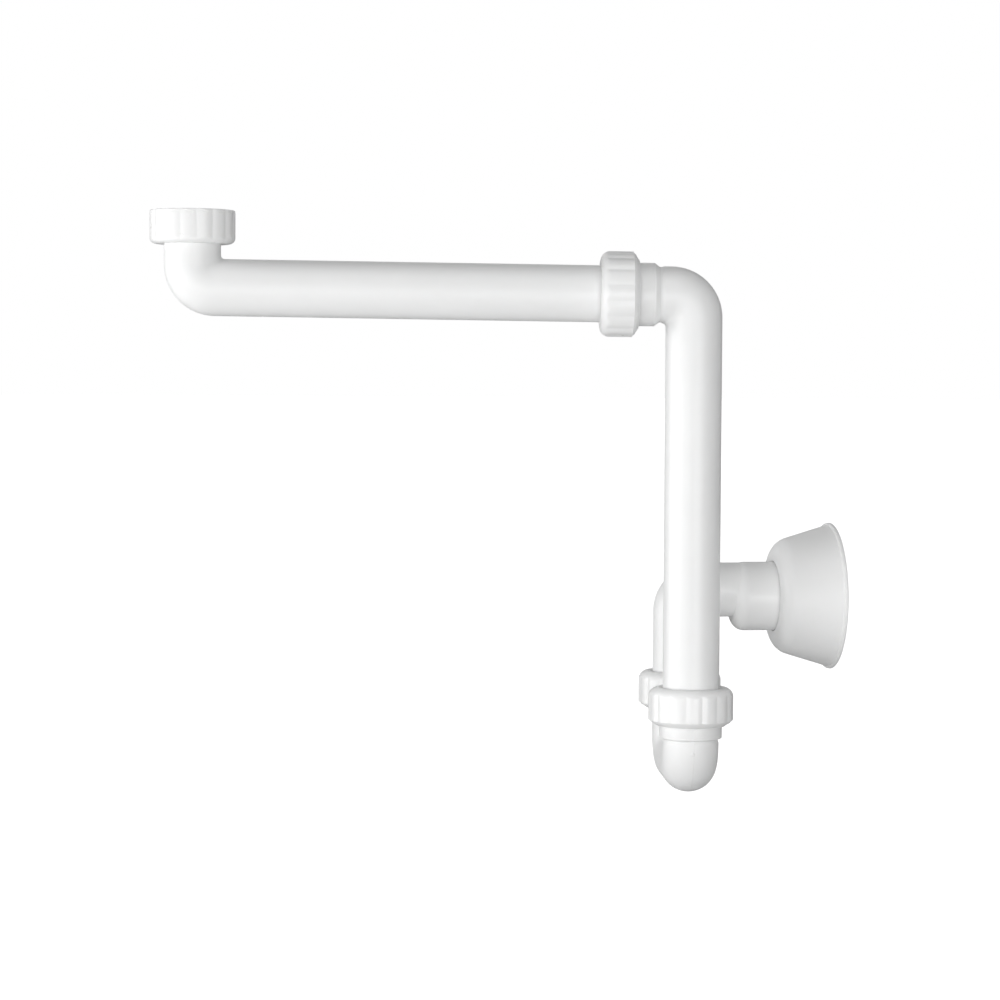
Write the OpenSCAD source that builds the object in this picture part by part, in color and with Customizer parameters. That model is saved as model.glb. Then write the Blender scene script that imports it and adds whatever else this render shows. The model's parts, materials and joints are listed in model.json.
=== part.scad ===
// Space-saving washbasin waste trap: a union nut clamps a bent arm pipe under the waste, the arm
// telescopes into a threaded drop pipe, and a U-bend behind it carries the water seal to a wall outlet.
// Millimetres. +Z is up and +X runs along the arm. The origin lies on the inlet's axis, where the
// inlet nut's thread starts, half a millimetre above the gasket.

/* [Pipe] */
// Outer diameter of the trap's pipes
pipe_d = 32; // [31:0.1:32.2]
// Wall thickness of the trap's pipes
pipe_wall = 1.8; // [1.5:0.1:2.2]
// Centreline radius of the tight knuckle bends
bend_r = 12.9; // [12:0.1:14]

/* [Inlet] */
// Height of the inlet nut
inlet_nut_h = 18.9; // [18:0.1:24]
// Minor diameter of the inlet nut's G 1 1/4 thread
inlet_thread_d = 38.95; // [38.5:0.05:39.5]
// Depth of the arm's axis below the origin, on the inlet's axis
arm_depth = 31.2; // [30:0.1:60]

/* [Arm] */
// Distance from the inlet's axis to the drop pipe's axis
arm_reach = 283.7; // [200:0.1:360]
// Fall of the arm towards the drop pipe, in degrees
arm_fall = 0.6; // [0:0.1:2]

/* [Trap] */
// Drop from the arm's axis to the U-bend's inlet nut
drop_to_nut = 222.6; // [210:0.1:280]
// Drop from that nut's upper face to the axis of the U-bend's bottom run
nut_to_bottom = 45.6; // [44:0.1:60]
// Distance between the U-bend's two legs
leg_spacing = 56; // [54:0.5:70]
// Height of the U-bend's outlet socket above its inlet socket
socket_lift = 3.7; // [0:0.1:10]
// Turn of the U-bend round the drop pipe, in degrees
trap_yaw = 2; // [-10:0.5:10]

/* [Outlet] */
// Drop from the arm's axis to the outlet's axis
outlet_drop = 171.4; // [150:0.1:180]
// Outer diameter of the outlet spigot
outlet_d = 40; // [39.5:0.1:40.5]
// Wall thickness of the outlet spigot
outlet_wall = 1.7; // [1.5:0.05:1.7]
// Turn of the outlet to the rear, away from the arm's own direction, in degrees
outlet_yaw = 7; // [0:1:90]
// Distance from the riser's axis to the end of the spigot
spigot_end = 87.4; // [80:0.1:200]

/* [Rosette] */
// Diameter of the wall rosette's rim
rosette_d = 86.6; // [80:0.1:100]
// Depth of the wall rosette
rosette_depth = 35.2; // [30:0.1:45]
// Wall thickness of the wall rosette
rosette_wall = 1.8; // [1.5:0.1:2.5]
// Distance from the riser's axis to the rosette's back
rosette_place = 55.3; // [48:0.1:60]

/* [Union nuts] */
// Diameter over a nut's grip lobes
nut_d = 48.6; // [48:0.1:52]
// Length of a union nut
nut_len = 21.8; // [21:0.1:24]
// Number of grip lobes round a nut
lobes = 16; // [12:1:20]
// Radius of one grip lobe
lobe_r = 9; // [8:0.5:12]

/* [Hidden] */
$fn = 96;
pipe_r = pipe_d / 2;
bore_r = pipe_r - pipe_wall;
gap = 0.05;        // running gap between faces that turn on each other
over = 1;          // how far a cutting shape runs past the face that it cuts
sunk = 0.3;        // how far a taper's end sinks into the pipe that it dies into

// Union joint. Every length runs from the nut's pipe-side face towards the socket.
shelf = 2.6;                         // thickness of the nut's inner shelf
nut_hole_r = pipe_r + 0.4;
nut_round = 5.5;
nut_bevel = 3.3;
nut_mouth_r = 19.3;
thread_r = 18.65;                    // plain stand-in for the socket's male thread
nut_bore_r = thread_r + 0.1;
ring_at = shelf + gap;
ring_t = 1.5;
ring_in_r = pipe_r + 0.25;
ring_out_r = 18.5;
seal_at = ring_at + ring_t + gap;
seal_in_r = pipe_r + gap;
seal_out_r = 18.4;
mouth = 6.25;                        // where the socket's mouth starts
seat_r = 17.6;                       // wide end of the cone that the seal wedges into
seat_len = 4.25;
seal_len = 9.6 - seal_at;
socket_r = pipe_r + 0.2;
thread_end = 20.5;
collar_r = 17.8;
seat_slope = (seat_r - socket_r) / seat_len;

// Drop pipe's socket
arm_nut_to_corner = 53.4;            // from the arm nut's pipe-side face to the drop pipe's axis
arm_collar_end = 30.5;
arm_collar_taper = 3.3;
arm_socket_end = 29.2;
arm_pipe_end = 27;

// U-bend's sockets
trap_collar_end = 28.3;
trap_collar_taper = 1.7;
trap_socket_end = 27;
trap_pipe_end = 25;

// Inlet
flange_r = 18.9;
flange_t = 2.2;
gasket_t = 2.1;
gasket_r = 19.2;
gasket_top = -0.5;
flange_top = gasket_top - gasket_t;
inlet_nut_shelf = 2.15;
inlet_nut_round = 3.8;
inlet_nut_z = flange_top - flange_t - gap - inlet_nut_shelf;
relief_r = 20;                       // clearance round the gasket and the flange
thread_from = -0.3;
thread_chamfer = 0.6;

// Places of the pipes' corners, where two axes cross
turn = 90 - arm_fall;
arm_corner = [0, 0, -arm_depth];
arm_run = arm_reach / cos(arm_fall);
drop_corner = [arm_reach, 0, -arm_depth - arm_reach * tan(arm_fall)];
trap_nut = drop_corner - [0, 0, drop_to_nut];
trap_corner = trap_nut - [0, 0, nut_to_bottom];
leg_offset = leg_spacing * [-sin(trap_yaw), cos(trap_yaw), 0];
riser_nut = trap_nut + leg_offset + [0, 0, socket_lift];
outlet_corner = drop_corner + leg_offset - [0, 0, outlet_drop];

// Outlet
step_at = 30.5;                      // where the pipe starts to widen
step_round = 7.5;
step_drop = 3.9;                     // how far the wide pipe's axis lies below the narrow one's
body_r = outlet_d / 2 + 0.3;
spigot_from = 60;
wide_bore_at = step_at + 5.5;
spigot_chamfer = 1;

// Rosette profile, from its back
rosette_hole_r = body_r + 0.3;
back_r = 22.7;                       // where the flat back ends
back_round = 11.5;
cone_r = 41.4;                       // wide end of the cone
lip_t = 2;

// ---- frames ----

// Looks along the arm from its corner: +Z becomes the arm's direction
module along_arm(distance) translate(arm_corner) rotate([0, 90 + arm_fall, 0]) translate([0, 0, distance]) children();

// Looks down from a point: +Z becomes straight down
module down_from(place) translate(place) rotate([180, 0, 0]) children();

// Looks along the outlet from the riser's axis, on the axis of the wide pipe
module along_outlet(distance) translate(outlet_corner) rotate(outlet_yaw) translate([distance, 0, -step_drop])
  rotate([0, 90, 0]) children();

module at_arm_union() along_arm(arm_run - arm_nut_to_corner) children();
module at_trap_inlet() down_from(trap_nut) children();
module at_trap_outlet() down_from(riser_nut) children();

// ---- shared shapes ----

// Solid rod round a tight bend: one leg up, the other turned from straight down towards +X by the angle.
// Both legs are measured from the corner.
module bent_rod(r, angle, leg_up, leg_out) {
  tangent = bend_r * tan(angle / 2);
  translate([0, 0, tangent]) cylinder(r = r, h = leg_up - tangent);
  translate([bend_r, 0, tangent]) rotate([90, 0, 0]) rotate(180) rotate_extrude(angle = angle) intersection() {
    translate([bend_r, 0]) circle(r);
    translate([0, -r]) square([bend_r + r, 2 * r]);
  }
  rotate([0, 180 - angle, 0]) translate([0, 0, tangent]) cylinder(r = r, h = leg_out - tangent);
}

// Solid of a grip nut: lobes all round, a rounded pipe-side end and a bevelled open end
module grip_nut_solid(length, round_r, bevel_len, bevel_r) intersection() {
  linear_extrude(length) for (i = [0 : lobes - 1]) rotate(i * 360 / lobes)
    translate([nut_d / 2 - lobe_r, 0]) circle(lobe_r);
  rotate_extrude() {
    translate([nut_d / 2 - round_r, round_r]) circle(round_r);
    polygon([[0, 0], [nut_d / 2 - round_r, 0], [nut_d / 2 - round_r, round_r], [nut_d / 2, round_r],
             [nut_d / 2, length - bevel_len], [bevel_r, length], [0, length]]);
  }
}

// Union nut: shelf with a hole for the pipe, then the thread's bore
module union_nut() difference() {
  grip_nut_solid(nut_len, nut_round, nut_bevel, nut_mouth_r);
  translate([0, 0, -over]) cylinder(r = nut_hole_r, h = shelf + 2 * over);
  translate([0, 0, shelf]) cylinder(r = nut_bore_r, h = nut_len);
}

// Flat ring that lets the nut turn without dragging the seal
module slip_ring() translate([0, 0, ring_at]) difference() {
  cylinder(r = ring_out_r, h = ring_t);
  translate([0, 0, -over]) cylinder(r = ring_in_r, h = ring_t + 2 * over);
}

// Wedge seal: a flat back, then a cone that closes on the pipe
module wedge_seal() {
  step = mouth - gap;
  start_r = seat_r - 0.15;
  end = seal_at + seal_len;
  rotate_extrude() polygon([[seal_in_r, seal_at], [seal_out_r, seal_at], [seal_out_r, step], [start_r, step],
                            [start_r - (end - step) * seat_slope, end], [seal_in_r, end]]);
}

// Outside of a socket: male thread, collar and taper down to the pipe
module socket_solid(collar_end, taper) rotate_extrude()
  polygon([[0, mouth], [thread_r - 0.5, mouth], [thread_r, mouth + 0.5], [thread_r, thread_end],
           [collar_r, thread_end], [collar_r, collar_end], [pipe_r - sunk, collar_end + taper],
           [0, collar_end + taper]]);

// Inside of a socket: conical seat, then the bore that the pipe slides in
module socket_bore(depth) rotate_extrude()
  polygon([[0, mouth - over], [seat_r + over * seat_slope, mouth - over], [socket_r, mouth + seat_len],
           [socket_r, depth], [0, depth]]);

// ---- inlet ----

module inlet_nut() color("white") translate([0, 0, inlet_nut_z]) difference() {
  grip_nut_solid(inlet_nut_h, inlet_nut_round, thread_chamfer, nut_d / 2 - thread_chamfer);
  translate([0, 0, -over]) cylinder(r = nut_hole_r, h = inlet_nut_h);
  translate([0, 0, inlet_nut_shelf]) cylinder(r = relief_r, h = thread_from - inlet_nut_z - inlet_nut_shelf);
  translate([0, 0, inlet_nut_shelf]) cylinder(d = inlet_thread_d, h = inlet_nut_h);
  translate([0, 0, inlet_nut_h - thread_chamfer])
    cylinder(d1 = inlet_thread_d, d2 = inlet_thread_d + 4 * thread_chamfer, h = 2 * thread_chamfer);
}

module inlet_gasket() color("dimgray") translate([0, 0, flange_top + gap]) difference() {
  cylinder(r = gasket_r, h = gasket_t - gap);
  translate([0, 0, -over]) cylinder(r = bore_r, h = gasket_t + 2 * over);
}

module inlet_pipe() color("white") difference() {
  union() {
    translate(arm_corner) bent_rod(pipe_r, turn, arm_depth + flange_top,
                                   arm_run - arm_nut_to_corner + arm_pipe_end);
    translate([0, 0, flange_top - flange_t]) cylinder(r = flange_r, h = flange_t);
  }
  translate(arm_corner) bent_rod(bore_r, turn, arm_depth, arm_run);
}

// ---- drop pipe, with the socket that the arm slides in ----

module drop_pipe() color("white") difference() {
  union() {
    translate(drop_corner) rotate([0, 180, 0]) bent_rod(pipe_r, turn, drop_to_nut + trap_pipe_end,
                                                        arm_nut_to_corner - arm_collar_end);
    at_arm_union() socket_solid(arm_collar_end, arm_collar_taper);
  }
  translate(drop_corner) rotate([0, 180, 0]) bent_rod(bore_r, turn, drop_to_nut + trap_pipe_end + over,
                                                      arm_nut_to_corner - thread_end);
  at_arm_union() socket_bore(arm_socket_end);
}

// ---- U-bend, with a socket at the top of each leg ----

// These work from the front leg's corner, with the rear leg straight behind it along +Y.

// Both legs as rods that meet in the middle of the bottom run, with the given length left off under each nut
module u_rod(r, below_nut) {
  rotate(90) bent_rod(r, 90, nut_to_bottom - below_nut, leg_spacing / 2);
  translate([0, leg_spacing, 0]) rotate(-90)
    bent_rod(r, 90, nut_to_bottom + socket_lift - below_nut, leg_spacing / 2);
}

module at_both_sockets() {
  down_from([0, 0, nut_to_bottom]) children();
  down_from([0, leg_spacing, nut_to_bottom + socket_lift]) children();
}

module u_bend() color("white") translate(trap_corner) rotate(trap_yaw) difference() {
  union() {
    u_rod(pipe_r, trap_collar_end);
    at_both_sockets() socket_solid(trap_collar_end, trap_collar_taper);
  }
  u_rod(bore_r, thread_end);
  at_both_sockets() socket_bore(trap_socket_end);
}

// ---- outlet bend, widened eccentrically to the spigot ----

// Narrow rod: down the riser and along the outlet
module outlet_rod(r, down, out) translate(outlet_corner) rotate(outlet_yaw) mirror([0, 0, 1])
  bent_rod(r, 90, down, out);

module outlet_bend() {
  riser = riser_nut.z - trap_pipe_end;
  shoulder_r = body_r - step_round;
  color("white") difference() {
    union() {
      outlet_rod(pipe_r, outlet_corner.z - riser, step_at + step_round - 1);
      along_outlet(0) rotate_extrude() {
        translate([shoulder_r, step_at + step_round]) circle(step_round);
        polygon([[0, step_at], [shoulder_r, step_at], [shoulder_r, step_at + step_round],
                 [body_r, step_at + step_round], [body_r, spigot_from], [outlet_d / 2, spigot_from],
                 [outlet_d / 2, spigot_end - spigot_chamfer], [outlet_d / 2 - spigot_chamfer / 2, spigot_end],
                 [0, spigot_end]]);
      }
    }
    outlet_rod(bore_r, outlet_corner.z - riser + over, wide_bore_at + 0.5);
    along_outlet(wide_bore_at) cylinder(r = outlet_d / 2 - outlet_wall, h = spigot_end);
  }
}

// ---- wall rosette ----

// Half section of the cup, shrunk by the inset; the open side runs past the rim by the overrun
module cup_section(inset, overrun) {
  slope = atan((cone_r - back_r - back_round) / (rosette_depth - lip_t - back_round));
  r = back_round - inset;
  translate([back_r, back_round]) circle(r);
  polygon([[0, inset], [back_r, inset], [back_r, back_round],
           [back_r + r * cos(slope), back_round - r * sin(slope)], [cone_r - inset, rosette_depth - lip_t],
           [cone_r - inset, rosette_depth + overrun], [0, rosette_depth + overrun]]);
}

module wall_rosette() color("white") along_outlet(rosette_place) difference() {
  union() {
    rotate_extrude() cup_section(0, 0);
    translate([0, 0, rosette_depth - lip_t]) cylinder(d1 = rosette_d - lip_t / 2, d2 = rosette_d, h = lip_t / 4);
    translate([0, 0, rosette_depth - lip_t * 3 / 4]) cylinder(d = rosette_d, h = lip_t * 3 / 4);
  }
  rotate_extrude() cup_section(rosette_wall, over);
  translate([0, 0, -over]) cylinder(r = rosette_hole_r, h = rosette_wall + 2 * over);
}

inlet_nut();
inlet_gasket();
inlet_pipe();
color("white") at_arm_union() union_nut();  // arm_nut
color("white") at_arm_union() slip_ring();  // arm_slip_ring
color("dimgray") at_arm_union() wedge_seal();  // arm_seal
drop_pipe();
color("white") at_trap_inlet() union_nut();  // trap_inlet_nut
color("white") at_trap_inlet() slip_ring();  // trap_inlet_slip_ring
color("dimgray") at_trap_inlet() wedge_seal();  // trap_inlet_seal
u_bend();
color("white") at_trap_outlet() union_nut();  // trap_outlet_nut
color("white") at_trap_outlet() slip_ring();  // trap_outlet_slip_ring
color("dimgray") at_trap_outlet() wedge_seal();  // trap_outlet_seal
outlet_bend();
wall_rosette();
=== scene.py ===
"""Washbasin trap in white moulded plastic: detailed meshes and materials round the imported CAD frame."""
import json
import math

import bpy
import numpy as np
from mathutils import Matrix, Vector

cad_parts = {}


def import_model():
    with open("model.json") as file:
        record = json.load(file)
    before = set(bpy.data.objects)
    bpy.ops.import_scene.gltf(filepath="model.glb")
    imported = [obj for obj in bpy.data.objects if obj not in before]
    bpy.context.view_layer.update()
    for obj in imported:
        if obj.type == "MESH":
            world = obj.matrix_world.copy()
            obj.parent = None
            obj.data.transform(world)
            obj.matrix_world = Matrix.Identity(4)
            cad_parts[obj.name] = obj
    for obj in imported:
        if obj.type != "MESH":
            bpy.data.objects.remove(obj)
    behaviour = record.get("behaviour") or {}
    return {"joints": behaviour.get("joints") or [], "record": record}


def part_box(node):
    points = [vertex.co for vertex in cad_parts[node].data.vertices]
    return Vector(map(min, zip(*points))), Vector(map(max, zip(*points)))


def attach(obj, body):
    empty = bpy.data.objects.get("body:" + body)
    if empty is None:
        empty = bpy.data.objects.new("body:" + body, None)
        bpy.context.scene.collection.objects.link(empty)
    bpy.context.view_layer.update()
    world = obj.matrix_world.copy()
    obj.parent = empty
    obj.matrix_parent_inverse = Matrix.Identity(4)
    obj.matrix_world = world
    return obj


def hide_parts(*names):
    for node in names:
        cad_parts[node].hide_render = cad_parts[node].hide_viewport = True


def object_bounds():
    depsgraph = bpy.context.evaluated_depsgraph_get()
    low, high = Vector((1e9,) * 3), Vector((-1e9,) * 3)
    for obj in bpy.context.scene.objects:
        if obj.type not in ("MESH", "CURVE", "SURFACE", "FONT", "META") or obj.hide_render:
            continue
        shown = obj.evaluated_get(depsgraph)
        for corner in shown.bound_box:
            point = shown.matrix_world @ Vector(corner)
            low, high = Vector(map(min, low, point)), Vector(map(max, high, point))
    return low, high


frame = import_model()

CAD_BOX = [list(corner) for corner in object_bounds()]
MM = 0.001
NEAR = 1e-6

# ---- sizes, in millimetres; the places come from the frame ----

PIPE_R, BORE_R = 16.0, 14.2
BEND_R = 12.9                       # centreline radius of the tight bends
CREASE, CREASE_SOFT = 2.0, 2.0      # fillet inside a tight bend
RIDGE = 0.12                        # height of the parting line that the moulds leave
SHARP = math.radians(38)            # edges steeper than this are shaded sharp

PITCH, THREAD_H = 2.309, 0.42       # G 1 1/4 thread; heights are from the middle of the thread
MALE_R, FEMALE_R = 18.55, 18.80     # middle radii of the union threads
INLET_THREAD_R, INLET_THREAD_H = 20.2, 0.7

NUT_R, LOBES, LOBE_R = 24.3, 16, 9.0
LOBE_REACH = 2.5                    # the lobes shape a nut down to this far inside its full radius
NUT_LEN, NUT_ROUND = 21.8, 5.6
NUT_HOLE_R = 16.45                  # clears the pipe
SHELF, INLET_SHELF = 2.6, 2.15      # thickness round that hole
BEVEL = 3.3                         # length of a union nut's bevelled end

SOCKET_R, COLLAR_R = 16.2, 17.8
MOUTH, THREAD_END = 6.25, 20.5      # a socket's mouth and the end of its thread, from the nut's face
THREAD_FROM, THREAD_TO = MOUTH + 1.0, THREAD_END - 0.4
ARM_NUT_GAP = 53.4                  # from the drop pipe's corner back to the arm nut's face
ARM_INSERTED, LEG_INSERTED = 27.0, 25.0     # how far the pipes go in, past their nuts' faces
LEG_FROM = 20.0                     # where a pipe's straight leg starts, from its corner

STEP_DROP, STEP_AT, STEP_ROUND = 3.9, 30.5, 7.5     # the outlet's eccentric step
WIDE_R, SPIGOT_R, WIDE_BORE = 20.3, 20.0, 18.3
SPIGOT_SHORT = 3.1                  # how far inside the rosette's rim the spigot ends
ROSETTE_DEPTH, ROSETTE_WALL, ROSETTE_HOLE_R = 35.2, 1.8, 20.6
ROSETTE_FLAT_R, ROSETTE_ROUND = 23.2, 11.6

GATE_BELOW = math.radians(8)        # how far round the front bend the gate mark sits
GATE_ASIDE = math.radians(-2)       # and how far round the pipe, from the bend's outermost line

joints = {j["name"]: j for j in frame["joints"]}
mounts = {m["name"]: m for m in frame["record"]["mounts"]}


def place(joint):
    """A joint's place, in millimetres."""
    return np.array(joints[joint]["pos_m"]) / MM


def axis(joint):
    return np.array(joints[joint]["axis"], float)


def unit(v):
    return np.array(v, float) / np.linalg.norm(v)


UP = np.array([0.0, 0.0, 1.0])
ALONG = axis("arm_extension")
OUT = axis("rosette_slide")
DROP_CORNER = place("drop_swivel")
TRAP_NUT = place("trap_swivel")
RISER_NUT = place("outlet_swivel")
INLET_CORNER = DROP_CORNER - ALONG * DROP_CORNER[0] / ALONG[0]
TRAP_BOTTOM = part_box("u_bend")[0].z / MM + PIPE_R
ARM_NUT = DROP_CORNER - ALONG * ARM_NUT_GAP
WIDE_Z = mounts["outlet_spigot"]["pos_m"][2] / MM
OUTLET_CORNER = np.array([RISER_NUT[0], RISER_NUT[1], WIDE_Z + STEP_DROP])
RIM = float((np.array(mounts["wall_face"]["pos_m"]) / MM - OUTLET_CORNER) @ OUT)
SPIGOT_END = RIM - SPIGOT_SHORT
FLANGE_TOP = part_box("inlet_pipe")[1].z / MM
INLET_NUT_LOW, INLET_NUT_HIGH = (corner.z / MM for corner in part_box("inlet_nut"))


# ---- outlines ----

def outline(points, steps=5):
    """Runs through (along, radius, fillet) points, with an arc of that radius at each inner corner."""
    pts = [np.array(p[:2], float) for p in points]
    out = [pts[0]]
    for i in range(1, len(pts) - 1):
        fillet = points[i][2] if len(points[i]) > 2 else 0
        before, after = pts[i - 1] - pts[i], pts[i + 1] - pts[i]
        la, lb = np.linalg.norm(before), np.linalg.norm(after)
        half = math.acos(max(-1.0, min(1.0, before @ after / (la * lb)))) / 2
        if not fillet or half > math.pi / 2 - 0.01:
            out.append(pts[i])
            continue
        cut = min(fillet / math.tan(half), 0.49 * la, 0.49 * lb)
        radius = cut * math.tan(half)
        start, end = pts[i] + before / la * cut, pts[i] + after / lb * cut
        centre = pts[i] + unit(before / la + after / lb) * radius / math.sin(half)
        a, b = start - centre, end - centre
        sweep = math.pi - 2 * half
        for k in range(steps + 1):
            f = k / steps
            out.append(centre + (a * math.sin((1 - f) * sweep) + b * math.sin(f * sweep)) / math.sin(sweep))
    out.append(pts[-1])
    return np.array(out)


def divide(run, longest):
    """Adds points to a run so that no gap is longer than given."""
    out = [run[0]]
    for a, b in zip(run[:-1], run[1:]):
        n = max(1, math.ceil(np.linalg.norm(b[:2] - a[:2]) / longest))
        out += [a + (b - a) * k / n for k in range(1, n + 1)]
    return np.array(out)


# ---- meshes ----

def make_piece(name, verts, faces, body, node, slot, material):
    """Object from points in millimetres. It rides on the body and, if a node is named, stands in for it."""
    mesh = bpy.data.meshes.new(name)
    mesh.from_pydata((np.asarray(verts) * MM).tolist(), [], faces)
    mesh.validate()
    mesh.shade_smooth()
    mesh.set_sharp_from_angle(angle=SHARP)
    mesh.materials.append(material)
    piece = bpy.data.objects.new(f"{node}_visual" if node else name, mesh)
    bpy.context.scene.collection.objects.link(piece)
    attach(piece, body)
    if node:
        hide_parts(node)
    return piece


def ring_faces(rings, around):
    """Quads of a closed skin: the rings close on themselves and the last ring meets the first."""
    faces = []
    for i in range(rings):
        j = (i + 1) % rings
        for a in range(around):
            b = (a + 1) % around
            faces.append((i * around + a, i * around + b, j * around + b, j * around + a))
    return faces


def skin(name, rings, **piece):
    """Piece from rings of points, turned the right way out."""
    rings = np.asarray(rings)
    faces = ring_faces(len(rings), rings.shape[1])
    verts = rings.reshape(-1, 3)
    quads = verts[np.array(faces)]
    volume = np.einsum("ij,ij->i", quads[:, 0], np.cross(quads[:, 1], quads[:, 2])).sum()
    volume += np.einsum("ij,ij->i", quads[:, 0], np.cross(quads[:, 2], quads[:, 3])).sum()
    if volume < 0:
        faces = [f[::-1] for f in faces]
    return make_piece(name, verts, faces, **piece)


def axes_for(direction):
    """Two directions across the given one; the first lies level where it can."""
    side = np.cross(direction, UP) if abs(direction[2]) < 0.9 else np.cross(direction, [0, 1, 0])
    side = unit(side)
    return side, np.cross(direction, side)


def thread_wave(along, angle):
    """Rounded helical thread of the right hand, from -1 at the root to 1 at the crest."""
    wave = np.cos(2 * math.pi * along / PITCH - angle)
    return np.sign(wave) * np.abs(wave) ** 0.6


def thread_fade(along, start, end):
    """0 at the thread's ends and 1 between them, over half a turn."""
    return np.clip(np.minimum(along - start, end - along) / (PITCH / 2), 0, 1)


def revolved(name, origin, direction, rows, around=128, radius=None, **piece):
    """Closed skin round an axis. rows are (along, radius); radius(along, r, angle) may reshape a row."""
    a, b = axes_for(direction)
    angle = np.linspace(0, 2 * math.pi, around, endpoint=False)
    rings = []
    for i, (along, r) in enumerate(rows):
        rr = radius(i, along, r, angle) if radius else np.full(around, r)
        rings.append(origin + along * direction
                     + np.outer(rr * np.cos(angle), a) + np.outer(rr * np.sin(angle), b))
    return skin(name, rings, **piece)


def smooth_max(x, low, softness):
    return 0.5 * (x + low + np.sqrt((x - low) ** 2 + softness ** 2))


def line_angles(around):
    """Angles round a pipe, closer together beside the mould's parting line at 0 and 180 degrees."""
    even = np.linspace(0, 2 * math.pi, around, endpoint=False)
    near = np.radians([-2.0, -1.2, -0.6, 0.6, 1.2, 2.0])
    return np.sort(np.concatenate([even, near % (2 * math.pi), near + math.pi]))


def parting(angle):
    """Height of the parting line's ridge, as a share."""
    return np.exp(-(np.sin(angle) / math.radians(0.9)) ** 2)


class Route:
    """Centreline of a bent pipe: corners in millimetres and the directions between them, all in one plane."""

    def __init__(self, corners, directions, around=120):
        self.corners = [np.array(c, float) for c in corners]
        self.dirs = [unit(d) for d in directions]
        self.normals = []
        for i, d in enumerate(self.dirs):
            if i + 1 < len(self.dirs):
                n = -(self.dirs[i + 1] - (self.dirs[i + 1] @ d) * d)
            else:
                n = self.dirs[i - 1] - (self.dirs[i - 1] @ d) * d
            self.normals.append(unit(n))
        self.side = np.cross(self.dirs[0], self.normals[0])
        self.angle = line_angles(around)

    def straight(self, last, along, r):
        """Ring on the first or last leg, at a distance from its corner."""
        leg = -1 if last else 0
        centre = self.corners[leg] + self.dirs[leg] * (along if last else -along)
        return (centre + np.outer(r * np.cos(self.angle), self.normals[leg])
                + np.outer(r * np.sin(self.angle), self.side))

    def bend(self, k, r, steps):
        """Rings round corner k. Lines inside the bend keep a small fillet instead of crossing."""
        na, nb = self.normals[k], self.normals[k + 1]
        turn = math.acos(max(-1.0, min(1.0, na @ nb)))
        off = r * np.cos(self.angle)
        arc = smooth_max(BEND_R + off, CREASE, CREASE_SOFT)
        mitre = (na + nb) / (1 + na @ nb)
        centre = self.corners[k] + np.outer(off - arc, mitre) + np.outer(r * np.sin(self.angle), self.side)
        rings = []
        for i in range(steps + 1):
            f = i / steps * turn
            n = (math.sin(turn - f) * na + math.sin(f) * nb) / math.sin(turn)
            rings.append(centre + np.outer(arc, n))
        return rings

    def bends(self, r, steps=22):
        rings = []
        for k in range(len(self.corners)):
            rings += self.bend(k, r, steps)
        return rings


def pipe(name, route, start_out, end_out, start_in, end_in, gaps=(), **piece):
    """Hollow bent pipe. Each outline has (along, radius) rows, towards the bend (start) or away from it (end).
    gaps holds (last leg?, corner to nut's face) for each leg that is a threaded socket."""
    ridge = RIDGE * parting(route.angle)

    def outside(last, along, r):
        for on_last, gap in gaps:
            low, high = gap - THREAD_TO, gap - THREAD_FROM
            if on_last == last and low - NEAR <= along <= high + NEAR and r > COLLAR_R:
                wave = thread_wave(gap - along, thread_angle(route, last))
                height = (1 + wave) * thread_fade(along, low, high) - 1
                return route.straight(last, along, r + THREAD_H * height)
        return route.straight(last, along, r + ridge)

    plain = np.ones(len(route.angle))
    rings = [outside(False, s, r) for s, r in start_out]
    rings += route.bends(PIPE_R + ridge)
    rings += [outside(True, s, r) for s, r in end_out]
    rings += [route.straight(True, s, r * plain) for s, r in reversed(end_in)]
    rings += list(reversed(route.bends(BORE_R * plain)))
    rings += [route.straight(False, s, r * plain) for s, r in reversed(start_in)]
    return skin(name, rings, **piece)


def thread_angle(route, last):
    """Angle of each of the pipe's lines as the nut on that socket measures it."""
    leg = -1 if last else 0
    direction = route.dirs[0] if not last else -route.dirs[-1]
    a, b = axes_for(direction)
    n, s = route.normals[leg], route.side
    x = np.cos(route.angle) * (n @ a) + np.sin(route.angle) * (s @ a)
    y = np.cos(route.angle) * (n @ b) + np.sin(route.angle) * (s @ b)
    return np.arctan2(y, x)


# ---- materials ----

def node_material(name):
    material = bpy.data.materials.new(name)
    material.use_nodes = True
    tree = material.node_tree
    return material, tree, tree.nodes["Principled BSDF"]


def add(tree, kind, **values):
    node = tree.nodes.new(kind)
    for key, value in values.items():
        if key in node.inputs:
            node.inputs[key].default_value = value
        else:
            setattr(node, key, value)
    return node


def noise(tree, scale, detail=3.0, roughness=0.55):
    coords = add(tree, "ShaderNodeTexCoord")
    n = add(tree, "ShaderNodeTexNoise", Scale=scale, Detail=detail, Roughness=roughness)
    tree.links.new(coords.outputs["Object"], n.inputs["Vector"])
    return n.outputs["Fac"]


def ramp(tree, fac, low, high):
    node = add(tree, "ShaderNodeValToRGB")
    node.color_ramp.elements[0].position, node.color_ramp.elements[0].color = 0.3, (*low, 1)
    node.color_ramp.elements[1].position, node.color_ramp.elements[1].color = 0.7, (*high, 1)
    tree.links.new(fac, node.inputs["Fac"])
    return node.outputs["Color"]


def spread(tree, fac, low, high):
    node = add(tree, "ShaderNodeMapRange")
    node.inputs["To Min"].default_value = low
    node.inputs["To Max"].default_value = high
    tree.links.new(fac, node.inputs["Value"])
    return node.outputs["Result"]


def bump(tree, shader, heights, distance):
    """Chains one bump per (height, strength)."""
    normal = None
    for height, strength in heights:
        node = add(tree, "ShaderNodeBump", Strength=strength, Distance=distance)
        tree.links.new(height, node.inputs["Height"])
        if normal:
            tree.links.new(normal, node.inputs["Normal"])
        normal = node.outputs["Normal"]
    tree.links.new(normal, shader.inputs["Normal"])


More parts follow.
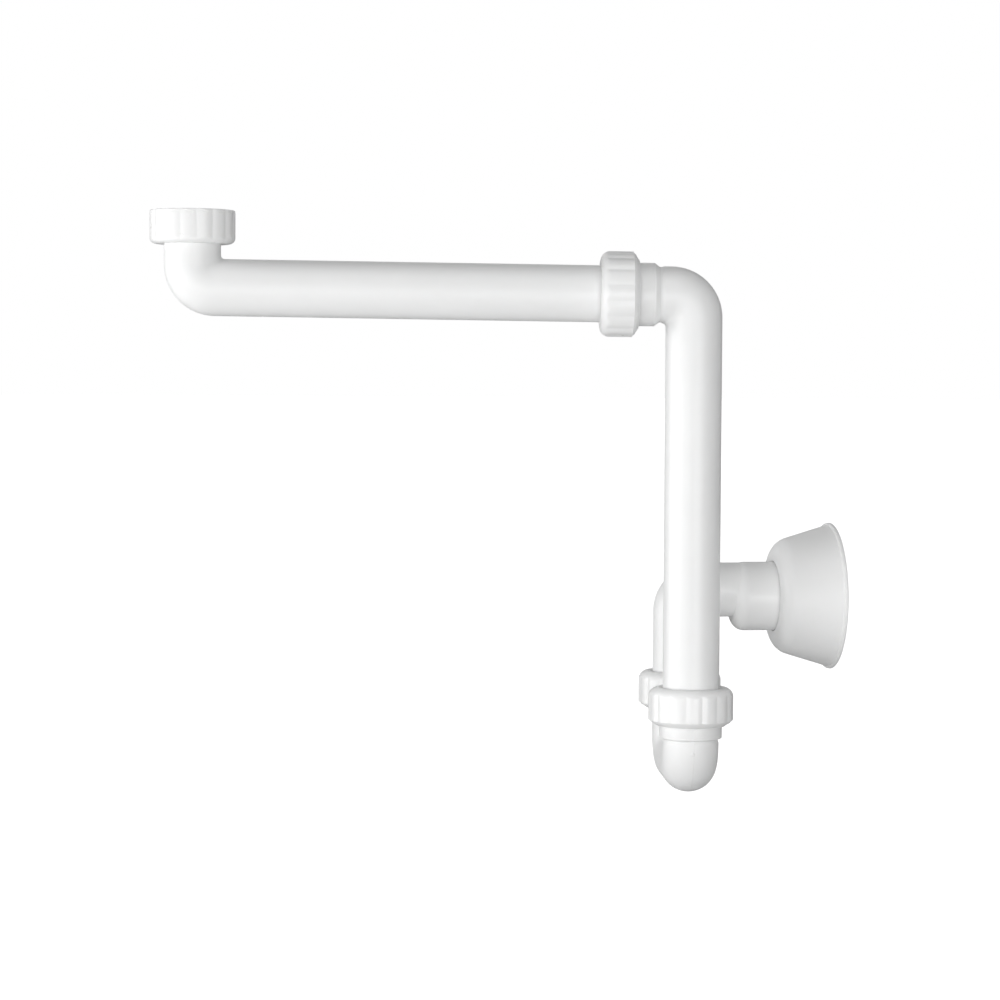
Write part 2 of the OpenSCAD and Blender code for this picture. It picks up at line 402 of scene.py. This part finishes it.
def white_plastic(name, low, high, rough):
    """Moulded polypropylene: faint flow clouding, satin gloss and a very fine skin texture."""
    material, tree, shader = node_material(name)
    clouding = noise(tree, 14.0, 4.0)
    tree.links.new(ramp(tree, clouding, low, high), shader.inputs["Base Color"])
    tree.links.new(spread(tree, noise(tree, 60.0, 5.0), *rough), shader.inputs["Roughness"])
    bump(tree, shader, ((noise(tree, 55.0, 2.0), 0.05), (noise(tree, 1400.0, 2.0), 0.05)), 0.0006)
    shader.inputs["Subsurface Weight"].default_value = 0.12
    shader.inputs["Subsurface Radius"].default_value = (1.0, 0.95, 0.9)
    shader.inputs["Subsurface Scale"].default_value = 0.003
    shader.inputs["IOR"].default_value = 1.49
    return material


def seal_rubber(name, tint):
    """Matt moulded rubber with a dusty bloom."""
    material, tree, shader = node_material(name)
    bloom = tuple(1.5 * c for c in tint)
    tree.links.new(ramp(tree, noise(tree, 90.0, 5.0), tint, bloom), shader.inputs["Base Color"])
    tree.links.new(spread(tree, noise(tree, 300.0, 3.0), 0.55, 0.8), shader.inputs["Roughness"])
    bump(tree, shader, ((noise(tree, 2500.0, 2.0), 0.2),), 0.0004)
    return material


PIPE_WHITE = white_plastic("pipe_white", (0.865, 0.868, 0.865), (0.895, 0.898, 0.895), (0.30, 0.40))
NUT_WHITE = white_plastic("nut_white", (0.875, 0.878, 0.875), (0.905, 0.908, 0.905), (0.24, 0.34))
ROSETTE_WHITE = white_plastic("rosette_white", (0.87, 0.873, 0.87), (0.90, 0.903, 0.90), (0.38, 0.48))
# The gate mark's base colour is lighter than the pipe's: a painted highlight for the glint on the mark. Its
# lower roughness is real gloss.
GATE_GLINT_WHITE = white_plastic("gate_white_painted_glint", (0.93, 0.932, 0.93), (0.95, 0.952, 0.95), (0.14, 0.20))
RING_NATURAL = white_plastic("ring_natural", (0.74, 0.76, 0.75), (0.80, 0.81, 0.80), (0.42, 0.55))
RUBBER = seal_rubber("rubber_black", (0.028, 0.028, 0.030))


# ---- nuts ----

def lobe_radius(angle):
    """Outline of the grip lobes round a nut."""
    step = 2 * math.pi / LOBES
    off = (angle + step / 2) % step - step / 2
    centre = NUT_R - LOBE_R
    edge = centre * np.cos(off) + np.sqrt(LOBE_R ** 2 - (centre * np.sin(off)) ** 2)
    valley = 0.12 * np.exp(-((np.abs(off) - step / 2) / (0.08 * step)) ** 2)
    return edge + valley


def soft_min(a, b, softness):
    return 0.5 * (a + b - np.sqrt((a - b) ** 2 + softness ** 2))


def nut(name, origin, direction, outside, inside, thread, body, around=256):
    """Grip nut. outside runs from the hole over the lobes to the open end, inside back down the thread.
    thread is (from, to, middle radius, height)."""
    rows = np.vstack([outside, inside])
    low, high, middle, height = thread

    def radius(i, along, r, angle):
        if i < len(outside):
            if r < NUT_R - LOBE_REACH:
                return np.full(len(angle), r)
            return soft_min(lobe_radius(angle), r, 0.25)
        if low <= along <= high and abs(r - middle) < NEAR:
            return middle + height * (1 - (1 - thread_wave(along, angle)) * thread_fade(along, low, high))
        return np.full(len(angle), r)

    return revolved(name, origin, direction, rows, around, radius, body=body, node=name,
                    slot="white_plastic", material=NUT_WHITE)


def arc_rows(centre_along, centre_r, half_along, half_r, start_deg, end_deg, steps=10):
    """Rows round an ellipse: 0 degrees points outwards, 90 along."""
    turns = np.radians(np.linspace(start_deg, end_deg, steps + 1))
    return np.column_stack([centre_along + half_along * np.sin(turns), centre_r + half_r * np.cos(turns)])


def thread_rows(low, high, r, per_turn=10):
    count = math.ceil(abs(high - low) / PITCH * per_turn)
    return np.column_stack([np.linspace(low, high, count + 1), np.full(count + 1, r)])


def union_nut(name, origin, direction, body):
    grip_end = NUT_LEN - BEVEL
    thread_low, thread_high = SHELF + 5.2, NUT_LEN - 0.9
    outside = np.vstack([
        outline([(2.2, 16.4), (1.9, NUT_HOLE_R, 0.1), (0.2, 18.1, 0.3), (0.0, 18.5, 0.2), (0.0, 18.9)], 3),
        arc_rows(NUT_ROUND, NUT_R - NUT_ROUND, NUT_ROUND, NUT_ROUND, -86, 0, 14),
        divide(np.array([[NUT_ROUND, NUT_R], [grip_end, NUT_R]]), 1.5)[1:],
        outline([(grip_end, NUT_R), (grip_end + 0.12, NUT_R - 0.75, 0.1), (grip_end + 1.45, NUT_R - 1.8, 0.2),
                 (grip_end + 1.52, NUT_R - 2.2, 0.1), (grip_end + 2.6, NUT_R - 3.9, 0.6),
                 (NUT_LEN, NUT_R - 5.0, 0.25), (NUT_LEN, 19.6)], 4)[1:],
    ])
    inside = np.vstack([
        [[NUT_LEN - 0.6, FEMALE_R + THREAD_H + 0.1]],
        thread_rows(thread_high, thread_low, FEMALE_R),
        [[thread_low - 0.6, FEMALE_R + 0.1], [SHELF + 0.1, FEMALE_R + 0.1], [SHELF, FEMALE_R - 0.1],
         [SHELF, 16.6]],
    ])
    return nut(name, origin, direction, outside, inside, (thread_low, thread_high, FEMALE_R, THREAD_H), body)


def inlet_nut():
    """Nut at the basin, open end up, with the full G 1 1/4 thread inside."""
    height = INLET_NUT_HIGH - INLET_NUT_LOW
    thread_low, thread_high = -INLET_NUT_LOW - 0.3, height - 0.8
    round_h, round_r = 3.8, 4.2
    outside = np.vstack([
        outline([(1.4, 16.4), (1.1, NUT_HOLE_R, 0.1), (0.0, 17.6, 0.3), (0.0, 19.8)], 3),
        arc_rows(round_h, NUT_R - round_r, round_h, round_r, -86, 0, 12),
        divide(np.array([[round_h, NUT_R], [height - 2.4, NUT_R]]), 1.5)[1:],
        outline([(height - 2.4, NUT_R), (height - 1.75, NUT_R, 0.1), (height - 1.7, NUT_R - 0.28, 0.1),
                 (height - 1.45, NUT_R - 0.28, 0.1), (height - 1.4, NUT_R - 0.05, 0.1),
                 (height - 0.55, NUT_R - 0.05, 0.2), (height, NUT_R - 0.6, 0.25), (height, 21.4)], 3)[1:],
    ])
    inside = np.vstack([
        [[height - 0.5, 20.95]],
        thread_rows(thread_high, thread_low, INLET_THREAD_R),
        [[thread_low - 0.4, 20.0], [INLET_SHELF + 0.1, 20.0], [INLET_SHELF, 19.8], [INLET_SHELF, 16.6]],
    ])
    return nut("inlet_nut", np.array([0, 0, INLET_NUT_LOW]), UP, outside, inside,
               (thread_low, thread_high, INLET_THREAD_R, INLET_THREAD_H), "inlet_nut")


# ---- seals, rings and the gasket ----

def slip_ring(name, origin, direction):
    rows = outline([(2.65, 17.0), (2.65, 18.5, 0.25), (4.15, 18.5, 0.25), (4.15, 16.25, 0.25),
                    (2.65, 16.25, 0.25), (2.65, 16.99)], 3)
    return revolved(name, origin, direction, rows[:-1], body=name, node=name,
                    slot="slip_ring_plastic", material=RING_NATURAL)


def wedge_seal(name, origin, direction):
    """Wedge with two sealing ribs inside."""
    rows = outline([(4.2, 17.2), (4.2, 18.2, 0.3), (6.2, 18.2, 0.2), (6.2, 17.45, 0.1), (9.6, 16.33, 0.15),
                    (9.6, 16.05, 0.05), (8.8, 16.05, 0.1), (8.4, 16.35, 0.2), (7.6, 16.35, 0.2),
                    (7.2, 16.05, 0.1), (6.6, 16.05, 0.1), (6.2, 16.4, 0.2), (5.2, 16.4, 0.2),
                    (4.8, 16.05, 0.1), (4.2, 16.05, 0.2), (4.2, 17.19)], 3)
    return revolved(name, origin, direction, rows[:-1], body=name, node=name,
                    slot="seal_rubber", material=RUBBER)


def inlet_gasket():
    low, high = (corner.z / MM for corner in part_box("inlet_gasket"))
    rows = outline([(low, 17.0), (low, 19.2, 0.3), (high, 19.2, 0.4), (high, 17.6, 0.15),
                    (high - 0.35, 17.4, 0.15), (high - 0.35, 16.6, 0.15), (high, 16.4, 0.15),
                    (high, 14.3, 0.3), (low, 14.3, 0.2), (low, 16.99)], 3)
    return revolved("inlet_gasket", np.zeros(3), UP, rows[:-1], body="arm", node="inlet_gasket",
                    slot="seal_rubber", material=RUBBER)


# ---- pipes ----

def socket_outline(corner_gap, collar_end, taper, neck):
    """Outside of a socket, from its mouth towards the bend, as (distance from the corner, radius)."""
    mouth = outline([(MOUTH, 17.85), (MOUTH + 0.25, 18.05, 0.1), (MOUTH + 0.6, 18.08, 0.1),
                     (THREAD_FROM, MALE_R)], 3)
    thread = thread_rows(THREAD_FROM, THREAD_TO, MALE_R)
    foot = collar_end + taper
    collar = outline([(THREAD_END - 0.2, MALE_R - THREAD_H), (THREAD_END, 17.6, 0.1),
                      (THREAD_END + 0.9, 17.6, 0.15),
                      (THREAD_END + 1.0, COLLAR_R, 0.1), (collar_end - 0.9, COLLAR_R, 0.1),
                      (collar_end - 0.85, COLLAR_R - 0.12, 0.05), (collar_end - 0.5, COLLAR_R - 0.12, 0.05),
                      (collar_end - 0.45, COLLAR_R, 0.05), (collar_end + 0.3, COLLAR_R, 1.2),
                      (foot - 0.2, PIPE_R - 0.4, 0.6), (foot + 0.25 * neck, PIPE_R - 0.45, 0.5),
                      (foot + 0.65 * neck, PIPE_R, 1.5), (foot + neck, PIPE_R)], 4)
    rows = np.vstack([mouth, thread[1:], collar])
    return np.column_stack([corner_gap - rows[:, 0], rows[:, 1]])


def socket_inside(corner_gap, depth):
    """Inside of a socket, from its mouth to the pipe's bore."""
    rows = outline([(MOUTH, 17.65), (MOUTH + 0.3, 17.5, 0.1), (10.5, SOCKET_R, 0.3), (depth, SOCKET_R, 0.2),
                    (depth + 0.05, BORE_R + 0.2, 0.15), (depth + 0.5, BORE_R)], 3)
    return np.column_stack([corner_gap - rows[:, 0], rows[:, 1]])


def plain_end(end):
    """Outline of a cut pipe end, from the bend outwards: outside rows, then inside rows."""
    outside = outline([(LEG_FROM, PIPE_R), (end - 1.2, PIPE_R, 0.5), (end - 0.1, PIPE_R - 0.55, 0.15),
                       (end, PIPE_R - 0.8)], 3)
    inside = outline([(LEG_FROM, BORE_R), (end - 0.4, BORE_R, 0.1), (end - 0.05, BORE_R + 0.35)], 3)
    return divide(outside, 12.0), divide(inside, 12.0)


def inlet_pipe():
    route = Route([INLET_CORNER], [-UP, ALONG])
    top = FLANGE_TOP - INLET_CORNER[2]
    neck = LEG_FROM - 1.0
    flange = outline([(top, 17.5), (top, 18.9, 0.3), (top - 2.6, 18.9, 0.4), (top - 2.6, PIPE_R, 0.05),
                      (top - 3.4, PIPE_R), (neck, PIPE_R)], 4)
    bore = outline([(top, 14.9), (top - 0.5, BORE_R, 0.3), (neck, BORE_R)], 3)
    outside, inside = plain_end(np.linalg.norm(ARM_NUT - INLET_CORNER) + ARM_INSERTED)
    return pipe("inlet_pipe", route, flange, outside, bore, inside,
                body="arm", node="inlet_pipe", slot="white_plastic", material=PIPE_WHITE)


def drop_pipe():
    route = Route([DROP_CORNER], [ALONG, -UP])
    outside, inside = plain_end(DROP_CORNER[2] - TRAP_NUT[2] + LEG_INSERTED)
    return pipe("drop_pipe", route, socket_outline(ARM_NUT_GAP, 30.5, 3.3, 3.4), outside,
                socket_inside(ARM_NUT_GAP, 29.2), inside, gaps=((False, ARM_NUT_GAP),),
                body="drop", node="drop_pipe", slot="white_plastic", material=PIPE_WHITE)


def u_bend():
    across = RISER_NUT - TRAP_NUT
    across[2] = 0
    front = np.array([TRAP_NUT[0], TRAP_NUT[1], TRAP_BOTTOM])
    route = Route([front, front + across], [-UP, across, UP])
    front_gap, rear_gap = TRAP_NUT[2] - TRAP_BOTTOM, RISER_NUT[2] - TRAP_BOTTOM
    return pipe("u_bend", route, socket_outline(front_gap, 28.4, 1.3, 2.6),
                socket_outline(rear_gap, 28.4, 1.3, 2.6)[::-1],
                socket_inside(front_gap, 27.0), socket_inside(rear_gap, 27.0)[::-1],
                gaps=((False, front_gap), (True, rear_gap)),
                body="trap", node="u_bend", slot="white_plastic", material=PIPE_WHITE)


def gate_mark():
    """Small raised disc where the U-bend's mould was fed, on the front of the front bend."""
    across = unit([RISER_NUT[0] - TRAP_NUT[0], RISER_NUT[1] - TRAP_NUT[1], 0])
    centre = np.array([TRAP_NUT[0], TRAP_NUT[1], TRAP_BOTTOM + BEND_R]) + across * BEND_R
    outermost = -across * math.cos(GATE_BELOW) - UP * math.sin(GATE_BELOW)
    outwards = outermost * math.cos(GATE_ASIDE) + np.cross(across, UP) * math.sin(GATE_ASIDE)
    spot = centre + outermost * BEND_R + outwards * PIPE_R
    rows = outline([(0.5, 0.9), (0.35, 1.15, 0.1), (-0.12, 1.1, 0.15), (-0.28, 0.8, 0.4), (-0.34, 0.25, 0.2),
                    (-0.34, 0.06), (0.5, 0.06)], 3)
    # The mark's lighter material paints its highlight into its colour.
    return revolved("u_bend_gate_mark", spot, -outwards, rows, 32, body="trap", node=None,
                    slot="white_plastic", material=GATE_GLINT_WHITE)


def outlet_bend():
    """Riser and narrow outlet, then the eccentric step to the wide spigot."""
    route = Route([OUTLET_CORNER], [UP, OUT])
    outside, inside = plain_end(OUTLET_CORNER[2] - RISER_NUT[2] + LEG_INSERTED)
    plain, ridge = np.ones(len(route.angle)), RIDGE * parting(route.angle)
    rings = [route.straight(False, s, r + ridge) for s, r in outside[::-1]]
    rings += route.bends(PIPE_R + ridge)
    rings += spigot_rings(route)
    rings += list(reversed(route.bends(BORE_R * plain)))
    rings += [route.straight(False, s, r * plain) for s, r in inside]
    return skin("outlet_bend", rings, body="outlet", node="outlet_bend",
                slot="white_plastic", material=PIPE_WHITE)


def spigot_rings(route, narrow_steps=2, shoulder_steps=14):
    """Rings past the outlet's bend: narrow pipe, rounded eccentric shoulder, spigot, and back down the bore."""
    angle = route.angle
    plain = np.ones(len(angle))

    def wide(along, r):
        """Ring round the spigot's axis. Both values may change round it."""
        return (OUTLET_CORNER - UP * STEP_DROP + np.outer(along * plain, OUT)
                + np.outer(r * np.cos(angle), route.normals[-1]) + np.outer(r * np.sin(angle), route.side))

    # Where the narrow pipe meets the shoulder: its radius from the spigot's axis, as a turn round the fillet.
    reach = STEP_DROP * np.cos(angle)
    meeting_r = reach + np.sqrt(PIPE_R ** 2 - STEP_DROP ** 2 + reach ** 2)
    first_turn = np.arcsin(np.clip((meeting_r - (WIDE_R - STEP_ROUND)) / STEP_ROUND, 0, 1))
    narrow_end = STEP_AT + STEP_ROUND * (1 - np.cos(first_turn))

    rings = [route.straight(True, LEG_FROM, PIPE_R + RIDGE * parting(angle))]
    narrow = route.straight(True, 0.0, PIPE_R * plain)
    for i in range(1, narrow_steps + 1):
        rings.append(narrow + np.outer(LEG_FROM + (narrow_end - LEG_FROM) * i / narrow_steps, OUT))
    for i in range(1, shoulder_steps + 1):
        turn = first_turn + (math.pi / 2 - first_turn) * i / shoulder_steps
        rings.append(wide(STEP_AT + STEP_ROUND * (1 - np.cos(turn)), WIDE_R - STEP_ROUND * (1 - np.sin(turn))))

    body = outline([(STEP_AT + STEP_ROUND + 0.2, WIDE_R), (59.4, WIDE_R, 0.2), (60.0, SPIGOT_R, 0.2),
                    (SPIGOT_END - 2.4, SPIGOT_R, 1.0), (SPIGOT_END - 0.2, SPIGOT_R - 0.7, 0.3),
                    (SPIGOT_END, SPIGOT_R - 1.1)], 4)
    bore = outline([(SPIGOT_END, WIDE_BORE + 0.3), (SPIGOT_END - 0.3, WIDE_BORE, 0.2),
                    (STEP_AT + 7.0, WIDE_BORE, 1.0), (STEP_AT + 5.5, WIDE_BORE - 1.2)], 3)
    rings += [wide(s, r) for s, r in divide(body, 8.0)]
    rings += [wide(s, r) for s, r in divide(bore, 8.0)]
    rings += [route.straight(True, s, BORE_R * plain) for s in (STEP_AT + 4.5, LEG_FROM)]
    return rings


# ---- rosette ----

def wall_rosette():
    """Cup that hides the hole in the wall: rounded back, cone and a beaded rim."""
    depth, wall, hole = ROSETTE_DEPTH, ROSETTE_WALL, ROSETTE_HOLE_R
    flat, round_r = ROSETTE_FLAT_R, ROSETTE_ROUND
    outside = np.vstack([
        outline([(0.4, hole), (0.0, hole + 0.4, 0.2), (0.0, flat)], 3),
        arc_rows(round_r, flat, round_r, round_r, -89, -17, 18),
        outline([(depth - 8.0, 40.1), (depth - 2.5, 41.8, 0.4), (depth - 2.3, 42.5, 0.2),
                 (depth - 1.9, 43.1, 0.6), (depth - 0.5, 43.28, 0.4), (depth, 42.8, 0.2), (depth, 41.9)], 5),
    ])
    inside = np.vstack([
        outline([(depth, 40.3), (depth - 0.4, 39.5, 0.2), (depth - 8.0, 37.4)], 3),
        arc_rows(round_r, flat, round_r - wall, round_r - wall, -17, -89, 14),
        outline([(wall, flat - 0.3), (wall, hole + 0.2, 0.2), (wall - 0.3, hole), (0.8, hole)], 3),
    ])
    rows = np.vstack([outside, inside])
    back = OUTLET_CORNER - UP * STEP_DROP + OUT * (RIM - depth)
    return revolved("wall_rosette", back, OUT, rows, 160,
                    body="rosette", node="wall_rosette", slot="white_plastic", material=ROSETTE_WHITE)


inlet_nut()
inlet_gasket()
inlet_pipe()
drop_pipe()
u_bend()
gate_mark()
outlet_bend()
wall_rosette()
for prefix, nut_face, away in (("arm", ARM_NUT, ALONG), ("trap_inlet", TRAP_NUT, -UP),
                               ("trap_outlet", RISER_NUT, -UP)):
    union_nut(f"{prefix}_nut", nut_face, away, f"{prefix}_nut")
    slip_ring(f"{prefix}_slip_ring", nut_face, away)
    wedge_seal(f"{prefix}_seal", nut_face, away)


# ---- floor, light and camera ----

FLOOR_Z = CAD_BOX[0][2] - 0.16
FLOOR_R, FLOOR_SIDES = 60.0, 64
SOFTBOX_SIZE, SOFTBOX_AWAY = 0.7, 1.35
VIEW_FROM = Vector((0.1518, -1.5549, -0.0827))
VIEW_PITCH, VIEW_YAW, VIEW_ROLL = -0.0437, 0.0145, 0.0054
LENS, SENSOR = 98.74, 36.0


def floor():
    """Pale round floor that the camera sees as white and that gives off no light of its own."""
    mesh = bpy.data.meshes.new("floor")
    turns = np.linspace(0, 2 * math.pi, FLOOR_SIDES, endpoint=False)
    mesh.from_pydata([(FLOOR_R * math.cos(a), FLOOR_R * math.sin(a), FLOOR_Z) for a in turns], [],
                     [list(range(FLOOR_SIDES))])
    material, tree, shader = node_material("floor_pale")
    tree.links.new(ramp(tree, noise(tree, 3.0, 4.0), (0.58, 0.58, 0.58), (0.62, 0.62, 0.62)),
                   shader.inputs["Base Color"])
    shader.inputs["Roughness"].default_value = 0.8
    shader.inputs["Emission Color"].default_value = (1, 1, 1, 1)
    rays = add(tree, "ShaderNodeLightPath")
    tree.links.new(rays.outputs["Is Camera Ray"], shader.inputs["Emission Strength"])
    mesh.materials.append(material)
    plane = bpy.data.objects.new("floor", mesh)
    bpy.context.scene.collection.objects.link(plane)


def softbox(name, aim, azimuth, elevation, power):
    """Square softbox round the object. Azimuth runs from the camera's side towards +X."""
    data = bpy.data.lights.new(name, "AREA")
    data.size, data.energy = SOFTBOX_SIZE, power
    lamp = bpy.data.objects.new(name, data)
    bpy.context.scene.collection.objects.link(lamp)
    turn, rise = math.radians(azimuth), math.radians(elevation)
    away = Vector((math.sin(turn) * math.cos(rise), -math.cos(turn) * math.cos(rise), math.sin(rise)))
    lamp.location = aim + away * SOFTBOX_AWAY
    lamp.rotation_euler = (-away).to_track_quat("-Z", "Y").to_euler()


def world(level):
    """Soft even room: white where the camera sees it, dimmer as a source of light."""
    scene_world = bpy.data.worlds.new("studio")
    bpy.context.scene.world = scene_world
    scene_world.use_nodes = True
    tree = scene_world.node_tree
    tree.nodes.clear()
    light = add(tree, "ShaderNodeBackground", Strength=level)
    seen = add(tree, "ShaderNodeBackground", Strength=1.0)
    for background in (light, seen):
        background.inputs["Color"].default_value = (1, 1, 1, 1)
    rays = add(tree, "ShaderNodeLightPath")
    mix = add(tree, "ShaderNodeMixShader")
    out = add(tree, "ShaderNodeOutputWorld")
    tree.links.new(rays.outputs["Is Camera Ray"], mix.inputs[0])
    tree.links.new(light.outputs[0], mix.inputs[1])
    tree.links.new(seen.outputs[0], mix.inputs[2])
    tree.links.new(mix.outputs[0], out.inputs[0])


def camera():
    data = bpy.data.cameras.new("camera")
    data.lens, data.sensor_width = LENS, SENSOR
    data.clip_start, data.clip_end = 0.05, 200
    cam = bpy.data.objects.new("camera", data)
    bpy.context.scene.collection.objects.link(cam)
    ahead = Vector((math.sin(VIEW_YAW) * math.cos(VIEW_PITCH), math.cos(VIEW_YAW) * math.cos(VIEW_PITCH),
                    math.sin(VIEW_PITCH)))
    right = ahead.cross(Vector((0, 0, 1))).normalized()
    above = right.cross(ahead)
    right, above = (right * math.cos(VIEW_ROLL) + above * math.sin(VIEW_ROLL),
                    above * math.cos(VIEW_ROLL) - right * math.sin(VIEW_ROLL))
    cam.matrix_world = Matrix((right, above, -ahead)).transposed().to_4x4()
    cam.location = VIEW_FROM
    bpy.context.scene.camera = cam


floor()
middle = (Vector(CAD_BOX[0]) + Vector(CAD_BOX[1])) / 2
softbox("front_right", middle, 20, -8, 7.4)
softbox("front_left", middle, -22, -8, 4.6)
softbox("left_front", middle, -58, -8, 7.4)
softbox("left", middle, -95, 0, 6.2)
softbox("overhead", middle, 0, 60, 1.5)
softbox("rear", middle, 180, 30, 0.8)
world(0.30)
camera()
bpy.context.scene.view_settings.view_transform = "Standard"
bpy.context.scene.view_settings.look = "None"
